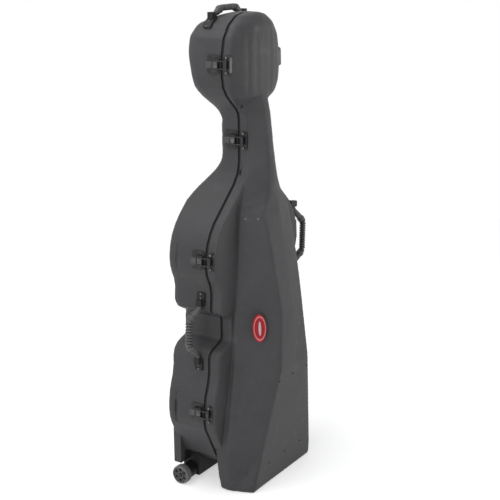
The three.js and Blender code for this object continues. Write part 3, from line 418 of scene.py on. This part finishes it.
black_steel = coated_metal("black_coated_steel", (0.008, 0.008, 0.009), 0.2, 0.3)
dark_chrome = coated_metal("rubbed_lever_steel", (0.055, 0.055, 0.058), 0.5, 0.25)
bright_steel = coated_metal("plated_steel", (0.42, 0.42, 0.43), 0.2, 0.28)
bolt_steel = coated_metal("bolt_steel", (0.13, 0.13, 0.135), 0.5, 0.35)
RIVET_RADIUS = 0.0026
BOLT_RADIUS = 0.0036
BOLT_HEIGHTS = (0.12, 0.88)
OUTSIDE = 0.6
for station in ("head_left", "head_right", "neck", "upper", "lower"):
    base = smoothed("latch_base_" + station, black_steel, "back")
    keeper = smoothed("latch_keeper_" + station, black_steel, "lid")
    smoothed("latch_lever_" + station, dark_chrome, "lever_" + station)
    smoothed("latch_loop_" + station, black_steel, "loop_" + station)
    side = 1 if station == "head_right" else -1
    for piece, node, label, body, metal, radius, depths in (
        (base, "latch_base_", "base_rivets_", "back", black_steel, RIVET_RADIUS, (0.2, 0.8)),
        (keeper, "latch_keeper_", "keeper_bolts_", "lid", bolt_steel, BOLT_RADIUS, (0.5,)),
    ):
        skin = tree_of(piece)
        low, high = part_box(node + station)
        spots = []
        for depth in depths:
            for height in BOLT_HEIGHTS:
                aim = Vector((
                    side * OUTSIDE,
                    low[1] + (high[1] - low[1]) * depth,
                    low[2] + (high[2] - low[2]) * height,
                ))
                found, normal, _, _ = skin.ray_cast(aim, Vector((-side, 0, 0)))
                if found:
                    spots.append((found, normal))
        screw_heads(label + station, spots, radius, metal, body)

# Hinges: two on the right-hand side. Their leaves are black coated steel, riveted to both shells,
# and turn on a plain plated pin.

for station in ("upper", "lower"):
    smoothed("hinge_back_" + station, black_steel, "back")
    smoothed("hinge_lid_" + station, black_steel, "lid")
    smoothed("hinge_pin_" + station, bright_steel, "back")

# Carrying handles: one on each side and one over the head. Each is a ribbed rubber grip moulded
# over a strap, which swings in two black nylon brackets, bolted on with two bolts each.


def soft_rubber(name, colour, roughness):
    finish = Finish(name)
    dust = finish.between(finish.noise(30.0, 5.0), 0.45, 0.75)
    # Painted shade: where pointiness is low, in hollows and in the creases between ribs, the
    # rubber is painted down to 0.35 of its colour; elsewhere it keeps its dusty colour.
    edges = finish.node("ShaderNodeNewGeometry", output="Pointiness")
    outside_crease_shade = finish.between(edges, 0.46, 0.54)
    rubbed = finish.blend(dust * 0.5, tinted(colour), tinted(colour, 1.6))
    return finish.surface(
        Base_Color=finish.blend(outside_crease_shade, tinted(colour, 0.35), rubbed),
        Roughness=roughness + dust * 0.1,
        Normal=finish.bump(finish.noise(500.0), 0.15, 0.0003),
    )


RIB_DEEP = 0.0038
RIB_NARROW = 4.6
RIBS_FROM, RIBS_TO = 0.22, 0.78
SHOULDER_PROUD = 0.0018
SHOULDER_LONG = 0.035
BOW_SHARE = 0.3
END_SHARE, END_LONG = 0.62, 0.14
SQUARENESS = 3.2
ROWS_PER_RIB = 12
GRIP_SIDES = 20
SLOPE_STEP = 0.004


def ribbed_grip(handle, middle, along, out, lean, length, rise, ribs, thick, wide):
    """A bowed grip with moulded ribs, lofted as rounded oblongs along its own path."""
    side = along.cross(out)
    leaned = out * math.cos(lean) + side * math.sin(lean)
    across = along.cross(leaned)
    rows = ROWS_PER_RIB * ribs

    def height(t):
        return rise * ease(t, 0.0, BOW_SHARE) * (1 - ease(t, 1 - BOW_SHARE, 1.0))

    points = []
    for i in range(rows + 1):
        t = i / rows
        climb = height(t + SLOPE_STEP) - height(t - SLOPE_STEP)
        outer = (leaned - along * (climb / (2 * SLOPE_STEP * length))).normalized()
        swell = 1.0
        cut = 0.0
        if RIBS_FROM < t < RIBS_TO:
            phase = (t - RIBS_FROM) / (RIBS_TO - RIBS_FROM) * ribs
            cut = RIB_DEEP * max(0.0, 1 - abs((phase % 1.0) - 0.5) * RIB_NARROW)
        if abs(t - RIBS_FROM) < SHOULDER_LONG or abs(t - RIBS_TO) < SHOULDER_LONG:
            swell = 1 + SHOULDER_PROUD / thick
        ends = END_SHARE + (1 - END_SHARE) * ease(min(t, 1 - t), 0.0, END_LONG)
        deep = thick * swell * ends - cut
        broad = wide * swell * ends - cut
        centre = middle + along * ((t - 0.5) * length) + leaned * height(t)
        for k in range(GRIP_SIDES):
            angle = 2 * math.pi * k / GRIP_SIDES
            c, d = math.cos(angle), math.sin(angle)
            square = (abs(c) ** SQUARENESS + abs(d) ** SQUARENESS) ** (-1 / SQUARENESS)
            points.append(centre + outer * (c * square * deep) + across * (d * square * broad))
    last = rows * GRIP_SIDES
    faces = [tuple(range(GRIP_SIDES)), tuple(reversed(range(last, last + GRIP_SIDES)))]
    for i in range(rows):
        base, above = i * GRIP_SIDES, (i + 1) * GRIP_SIDES
        for k in range(GRIP_SIDES):
            m = (k + 1) % GRIP_SIDES
            faces.append((base + k, above + k, above + m, base + m))
    node = handle + "_grip"
    modelled(node + "_moulding", points, faces, grip_rubber, node, (node,), 50)


grip_rubber = soft_rubber("grip_rubber", (0.06, 0.06, 0.061), 0.5)
bracket_nylon = moulded_plastic("bracket_nylon", (0.014, 0.014, 0.015), 1400.0, 0.0012)
HANDLES = (
    dict(
        handle="left_handle", body="back", middle=(-0.22618, 0.1015, 0.51732),
        along=(0.08641, 0, 0.99626), outward=(-1, 0, 0), lean=-25.0,
        length=0.159, rise=0.033, ribs=10, thick=0.0092, wide=0.0118,
    ),
    dict(
        handle="right_handle", body="lid", middle=(0.22463, 0.0469, 0.71451),
        along=(0.04648, 0, 0.99892), outward=(1, 0, 0), lean=-20.0,
        length=0.1983, rise=0.041, ribs=14, thick=0.0087, wide=0.0092,
    ),
    dict(
        handle="top_handle", body="back", middle=(0.0, 0.1365, 1.436),
        along=(1, 0, 0), outward=(0, 0, 1), lean=0.0,
        length=0.144, rise=0.016, ribs=9, thick=0.0092, wide=0.0084,
    ),
)
BRACKET_LONG = 0.04
BRACKET_BOLT_RADIUS = 0.0034
BOLT_SHARES = (0.58, 0.92)
BOLT_AIM = 0.08
for row in HANDLES:
    handle, body, middle = row["handle"], row["body"], Vector(row["middle"])
    along = Vector(row["along"]).normalized()
    out = Vector(row["outward"])
    out = (out - along * out.dot(along)).normalized()
    ribbed_grip(
        handle, middle, along, out, math.radians(row["lean"]),
        row["length"], row["rise"], row["ribs"], row["thick"], row["wide"],
    )
    for end, label in ((-1, "a"), (1, "b")):
        bracket = f"{handle}_bracket_{label}"
        skin = tree_of(smoothed(bracket, bracket_nylon, body))
        spots = []
        for share in BOLT_SHARES:
            reach = end * (row["length"] / 2 + BRACKET_LONG * share)
            found, normal, _, _ = skin.ray_cast(middle + along * reach + out * BOLT_AIM, -out)
            if found:
                spots.append((found, out))
        if spots:
            screw_heads(bracket + "_bolts", spots, BRACKET_BOLT_RADIUS, bolt_steel, body)

# Strap: a thin black pad with tapered ends. It is glued along the lid's wall under the
# right-hand grip and keeps the grip off the shell. Its near-black is also painted shade for
# the gap between grip and wall.

STRAP_FROM, STRAP_TO = 0.64, 0.776
STRAP_HALF = 0.009
STRAP_THICK = 0.0025
STRAP_SUNK = -0.0008
STRAP_DEPTH = 0.0469
STRAP_ROWS = 28
STRAP_TAPER_FROM = 10
STRAP_SECTION = ((-1, None), (-1, 0.6), (-0.8, 1.0), (0.8, 1.0), (1, 0.6), (1, None))
wall_tree = tree_of(lid_skin)
points, faces = [], []
rows = 0
sides = len(STRAP_SECTION)
for i in range(STRAP_ROWS + 1):
    level = STRAP_FROM + (STRAP_TO - STRAP_FROM) * i / STRAP_ROWS
    aim = Vector((0.4, STRAP_DEPTH, level))
    found, normal, _, _ = wall_tree.ray_cast(aim, Vector((-1, 0, 0)))
    if not found:
        continue
    from_middle = abs(i - STRAP_ROWS // 2)
    taper = 1 - max(0.0, from_middle - STRAP_TAPER_FROM) / 4 * 0.5
    out = Vector((normal.x, 0, normal.z)).normalized()
    for across, proud in STRAP_SECTION:
        lift = STRAP_SUNK if proud is None else proud * STRAP_THICK
        points.append(found + out * lift + Vector((0, across * STRAP_HALF * taper, 0)))
    if rows:
        base, above = (rows - 1) * sides, rows * sides
        for k in range(sides):
            m = (k + 1) % sides
            faces.append((base + k, base + m, above + m, above + k))
    rows += 1
faces += [tuple(range(sides)), tuple(reversed(range((rows - 1) * sides, rows * sides)))]
modelled("right_handle_strap", points, faces, shade_black_plastic, "lid")

# Wheels: hard grey-black rubber, each moulded in one piece with six lightening holes. They turn
# on one steel axle, which runs through round bosses on the carrier.


def hollow_turned(profile, count, place, normal, stretch=(1.0, 1.0)):
    """The same as turned, with the profile's end joined to its start in place of the caps."""
    points, faces = turned(profile, count, place, normal, stretch)
    last = (len(profile) - 1) * count
    closing = [(last + i, last + (i + 1) % count, (i + 1) % count, i) for i in range(count)]
    return points, faces[1:-1] + closing


def with_changes_kept(piece):
    """The piece's mesh after its modifiers, which then are no longer needed."""
    bpy.context.view_layer.update()
    depsgraph = bpy.context.evaluated_depsgraph_get()
    piece.data = bpy.data.meshes.new_from_object(piece.evaluated_get(depsgraph))
    piece.modifiers.clear()
    return piece.data


wheel_rubber = soft_rubber("wheel_rubber", (0.12, 0.12, 0.12), 0.55)
WHEEL_SIDE, WHEEL_DEPTH, WHEEL_ROUND = 0.2235, 0.1785, 0.03
WHEEL_HALF = 0.0125
WHEEL_COUNT = 60
WHEEL_EDGE = 40
HALF_PROFILE = (
    (0.0082, 0.001), (0.0105, 0.001), (0.0112, 0.0025), (0.0235, 0.0025),
    (0.0245, 0.0), (0.0272, 0.0), (0.0292, 0.0022), (WHEEL_ROUND, 0.0055),
)
OPENING_MIDDLE = 0.0168
OPENING_HALVES = (0.005, 0.0062)
tyre = [(radius, -WHEEL_HALF + inset) for radius, inset in HALF_PROFILE]
tyre += [(radius, WHEEL_HALF - inset) for radius, inset in reversed(HALF_PROFILE)]
for side, sign in (("left", -1), ("right", 1)):
    node = "wheel_" + side
    centre = Vector((sign * WHEEL_SIDE, WHEEL_DEPTH, WHEEL_ROUND))
    outward = (sign, 0, 0)
    points, faces = hollow_turned(tyre, WHEEL_COUNT, centre, outward)
    wheel = modelled(
        node + "_tyre", points, faces, wheel_rubber, node, (node,), WHEEL_EDGE
    )
    holes = []
    for k in range(6):
        angle = math.radians(30 + 60 * k)
        radial = Vector((0, math.cos(angle), math.sin(angle)))
        plug = ((1.0, -0.03), (1.0, 0.03))
        middle = centre + radial * OPENING_MIDDLE
        holes.append(turned(plug, 20, middle, outward, OPENING_HALVES, radial))
    points, faces = joined(holes)
    cutter_mesh = bpy.data.meshes.new("wheel_openings_" + side)
    cutter_mesh.from_pydata([tuple(point) for point in points], [], faces)
    work = bmesh.new()
    work.from_mesh(cutter_mesh)
    bmesh.ops.recalc_face_normals(work, faces=work.faces)
    work.to_mesh(cutter_mesh)
    work.free()
    cutter = in_scene("wheel_openings_" + side, cutter_mesh)
    carve = wheel.modifiers.new("openings", "BOOLEAN")
    carve.object = cutter
    carve.solver = "EXACT"
    carved = with_changes_kept(wheel)
    bpy.data.objects.remove(cutter)
    work = bmesh.new()
    work.from_mesh(carved)
    shaded(work, WHEEL_EDGE)
    work.to_mesh(carved)
    work.free()
smoothed("axle", black_steel, "back")
# The bosses take the near-black plastic that paints the shade under the lower bout.
HOUSING = ((0.0095, 0.0), (0.021, 0.0), (0.0245, 0.003), (0.0255, 0.037), (0.0095, 0.037))
HOUSING_SIDE = 0.1722
points, faces = joined([
    turned(HOUSING, 32, (sign * HOUSING_SIDE, WHEEL_DEPTH, WHEEL_ROUND), (sign, 0, 0))
    for sign in (-1, 1)
])
modelled("axle_housings", points, faces, shade_black_plastic, "back")

# Badge: an oval plaque of red enamel on metal, domed a little, with a pale ring and a plain pale
# mark. It is stuck to the lid's left slope.


def enamel(name, colour, deeper):
    finish = Finish(name)
    return finish.surface(
        Base_Color=finish.blend(finish.noise(25.0), tinted(colour), tinted(deeper)),
        Roughness=0.42 + finish.noise(80.0) * 0.1,
        Coat_Weight=0.12,
        Specular_IOR_Level=0.25,
    )


badge_red = enamel("badge_enamel", (0.3, 0.006, 0.012), (0.36, 0.012, 0.02))
badge_pale = enamel("badge_ring", (0.6, 0.14, 0.16), (0.66, 0.19, 0.21))
badge_white = enamel("badge_mark", (0.5, 0.38, 0.4), (0.58, 0.46, 0.48))
badge_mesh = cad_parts["badge"].data
badge_normal = Vector((0, 0, 0))
for face in badge_mesh.polygons:
    if face.normal.y < -0.5:
        badge_normal += face.normal * face.area
badge_normal.normalize()
badge_points = [vertex.co.copy() for vertex in badge_mesh.vertices]
badge_front = max(point.dot(badge_normal) for point in badge_points)
badge_middle = sum(badge_points, Vector()) / len(badge_points)
badge_middle += badge_normal * (badge_front - badge_middle.dot(badge_normal))
BADGE_HALF, BADGE_TALL = 0.022, 0.043
BADGE_COUNT, MARK_COUNT = 48, 28
BADGE_OVAL = (1.0, BADGE_TALL / BADGE_HALF)
MARK_OVAL = (1.0, 5.2)
plaque = [
    (BADGE_HALF, -0.0045), (BADGE_HALF, -0.0008), (BADGE_HALF * 0.95, 0.0),
    (BADGE_HALF * 0.6, 0.0007), (BADGE_HALF * 0.2, 0.001),
]
points, faces = turned(plaque, BADGE_COUNT, badge_middle, badge_normal, BADGE_OVAL)
modelled("badge_plaque", points, faces, badge_red, "lid", ("badge",))
ring = [
    (BADGE_HALF * 0.9, -0.001), (BADGE_HALF * 0.885, 0.001), (BADGE_HALF * 0.83, 0.0014),
    (BADGE_HALF * 0.76, 0.0012), (BADGE_HALF * 0.74, -0.001),
]
points, faces = hollow_turned(ring, BADGE_COUNT, badge_middle, badge_normal, BADGE_OVAL)
modelled("badge_ring", points, faces, badge_pale, "lid")
mark = [(0.0042, -0.0005), (0.0042, 0.0016), (0.0032, 0.0019)]
points, faces = turned(mark, MARK_COUNT, badge_middle, badge_normal, MARK_OVAL)
modelled("badge_mark", points, faces, badge_white, "lid")

# Lid fasteners: black screws that hold the inner rails of the foot, and four plain steel rivets
# under the neck. All are set into the lid's skin from outside.

SCREW_SPOTS = (
    (-0.092, 0.077), (0, 0.077), (0.092, 0.077), (-0.08, 0.349), (0, 0.349), (0.08, 0.349),
    (-0.1696, 0.0633), (0.1696, 0.0633),
)
RIVET_SPOTS = ((-0.0929, 0.847), (-0.0776, 0.848), (0.0929, 0.847), (0.0776, 0.848))
HEAD_SUNK = 0.0004
for label, spots, radius, metal in (
    ("foot_screws", SCREW_SPOTS, 0.0042, black_steel),
    ("neck_rivets", RIVET_SPOTS, 0.0034, bolt_steel),
):
    heads = []
    for x, z in spots:
        found, normal, _, _ = wall_tree.ray_cast(Vector((x, -0.4, z)), Vector((0, 1, 0)))
        if found:
            heads.append((found - normal * HEAD_SUNK, normal))
    screw_heads(label, heads, radius, metal, "lid")

# Linings: grey-black plush over foam, cut to the instrument's outline and glued into both shells,
# with a cradle for its neck.

plush_finish = Finish("charcoal_plush")
pile = plush_finish.noise(900.0, 3.0)
charcoal_plush = plush_finish.surface(
    Base_Color=plush_finish.blend(pile, (0.02, 0.021, 0.026, 1), (0.05, 0.052, 0.06, 1)),
    Roughness=0.95,
    Normal=plush_finish.bump(pile, 0.6, 0.002),
    Sheen_Weight=0.3,
)
PUFF = 0.0012
PUFF_TURNS = (58.0, 61.0)
SKIN_IN = 0.0008
for node, body, voxel in (
    ("back_lining", "back", 0.0065), ("lid_lining", "lid", 0.0065), ("neck_cradle", "back", 0.004)
):
    pad = in_scene(node + "_padding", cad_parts[node].data.copy())
    remesh = pad.modifiers.new("foam", "REMESH")
    remesh.mode = "VOXEL"
    remesh.voxel_size = voxel
    soften = pad.modifiers.new("edges", "SMOOTH")
    soften.factor = 0.5
    soften.iterations = 4
    mesh = with_changes_kept(pad)
    outward = [vertex.normal.copy() for vertex in mesh.vertices]
    for vertex, normal in zip(mesh.vertices, outward):
        spot = vertex.co.copy()
        swell = math.sin(spot.z * PUFF_TURNS[1]) * math.sin(spot.x * PUFF_TURNS[0] + 0.7) * PUFF
        vertex.co = spot - normal * (SKIN_IN - swell * 0.5)
    for face in mesh.polygons:
        face.use_smooth = True
    mesh.materials.clear()
    mesh.materials.append(charcoal_plush)
    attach(pad, body)
    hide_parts(node)

# Fittings inside: an accessory box with a hinged lid, screwed to the back shell, and pockets and
# turning clips for two bows, screwed to the lid. All of them are moulded in black nylon.

for node, body in (("accessory_box", "back"), ("accessory_box_lid", "box_lid")):
    smoothed(node, bracket_nylon, body)
for side in ("left", "right"):
    smoothed("bow_pocket_" + side, bracket_nylon, "lid")
    smoothed("bow_post_" + side, bracket_nylon, "lid")
    smoothed("bow_clip_" + side, bracket_nylon, "bow_clip_" + side)

# Studio: a sweep of white paper that fades into plain white further off, with one round soft box
# overhead and one at each side.

FLOOR_HALF = 12.0
FLOOR_GLOW = 0.5
FADE_FROM, FADE_TO = 1.6, 3.6
WHITE = (1, 1, 1, 1)


def seen_rays(finish):
    """One for rays from the camera, from a glossy surface or through glass, and else nothing."""
    camera, glossy, through = (
        finish.node("ShaderNodeLightPath", output=f"Is {kind} Ray")
        for kind in ("Camera", "Glossy", "Transmission")
    )
    return camera.most(glossy).most(through)


floor_mesh = bpy.data.meshes.new("studio_floor")
corners = [(x * FLOOR_HALF, y * FLOOR_HALF, 0) for x, y in ((-1, -1), (1, -1), (1, 1), (-1, 1))]
floor_mesh.from_pydata(corners, [], [(0, 1, 2, 3)])
floor = in_scene("studio_floor", floor_mesh)
sheet = Finish("studio_paper")
away = sheet.node("ShaderNodeVectorMath", {"operation": "LENGTH"}, {0: sheet.place()}, "Value")
bare = sheet.node("ShaderNodeBsdfDiffuse", inputs={"Color": (0.8, 0.8, 0.8, 1)})
lit = sheet.node("ShaderNodeEmission", inputs={"Color": WHITE, "Strength": FLOOR_GLOW})
glowing = sheet.node("ShaderNodeAddShader", inputs={0: bare, 1: lit})
near = sheet.node("ShaderNodeMixShader", inputs={0: seen_rays(sheet), 1: bare, 2: glowing})
far = sheet.node("ShaderNodeEmission", inputs={"Color": WHITE, "Strength": 1.0})
fading = sheet.between(away, FADE_FROM, FADE_TO)
floor_mesh.materials.append(
    sheet.shows(sheet.node("ShaderNodeMixShader", inputs={0: fading, 1: near, 2: far}))
)

air = Finish("studio_air", air=True)
dim = air.node("ShaderNodeBackground", inputs={"Color": (0.98, 0.99, 1.0, 1), "Strength": 0.5})
white = air.node("ShaderNodeBackground", inputs={"Color": WHITE, "Strength": 1.0})
bpy.context.scene.world = air.shows(
    air.node("ShaderNodeMixShader", inputs={0: seen_rays(air), 1: dim, 2: white})
)

for name, place, aim, wide, power in (
    ("overhead_box", (-0.9, 0.7, 3.6), (0, 0, 0.8), 2.4, 44),
    ("right_box", (2.6, -2.6, 0.9), (0, 0, 0.6), 1.8, 26),
    ("left_box", (-3.6, -0.3, 1.3), (0, 0, 0.8), 1.8, 35),
):
    light = bpy.data.lights.new(name, "AREA")
    light.shape = "DISK"
    light.size = wide
    light.energy = power
    lamp = in_scene(name, light)
    lamp.location = place
    lamp.rotation_euler = (Vector(aim) - Vector(place)).to_track_quat("-Z", "Y").to_euler()

# Camera: it stands to the left of the lid and a little above, where the photograph was taken
# from, with the photograph's own small tilt and offset.

PHOTO_PIXELS = 500.0
FOCAL_PIXELS = 1129.0
SHIFT_PIXELS = (0.5, 1.45)
SENSOR = 36.0
CAMERA_PLACE = (-2.795, -1.7615, 1.675)
CAMERA_TURN = math.radians(33.18)
CAMERA_DIP = math.radians(16.0)
CAMERA_ROLL = 0.0079
across = Vector((math.sin(CAMERA_TURN), -math.cos(CAMERA_TURN), 0))
ahead = Vector((
    math.cos(CAMERA_TURN) * math.cos(CAMERA_DIP),
    math.sin(CAMERA_TURN) * math.cos(CAMERA_DIP),
    -math.sin(CAMERA_DIP),
))
upward = across.cross(ahead)
right = (across - CAMERA_ROLL * upward).normalized()
top = (upward + CAMERA_ROLL * across).normalized()
camera_data = bpy.data.cameras.new("photo_camera")
camera_data.sensor_width = SENSOR
camera_data.lens = FOCAL_PIXELS / PHOTO_PIXELS * SENSOR
camera_data.shift_x = SHIFT_PIXELS[0] / PHOTO_PIXELS
camera_data.shift_y = SHIFT_PIXELS[1] / PHOTO_PIXELS
camera = in_scene("photo_camera", camera_data)
camera.matrix_world = Matrix.Translation(CAMERA_PLACE) @ Matrix((
    (right.x, top.x, -ahead.x, 0),
    (right.y, top.y, -ahead.y, 0),
    (right.z, top.z, -ahead.z, 0),
    (0, 0, 0, 1),
))
bpy.context.scene.camera = camera
bpy.context.scene.view_settings.view_transform = "Standard"
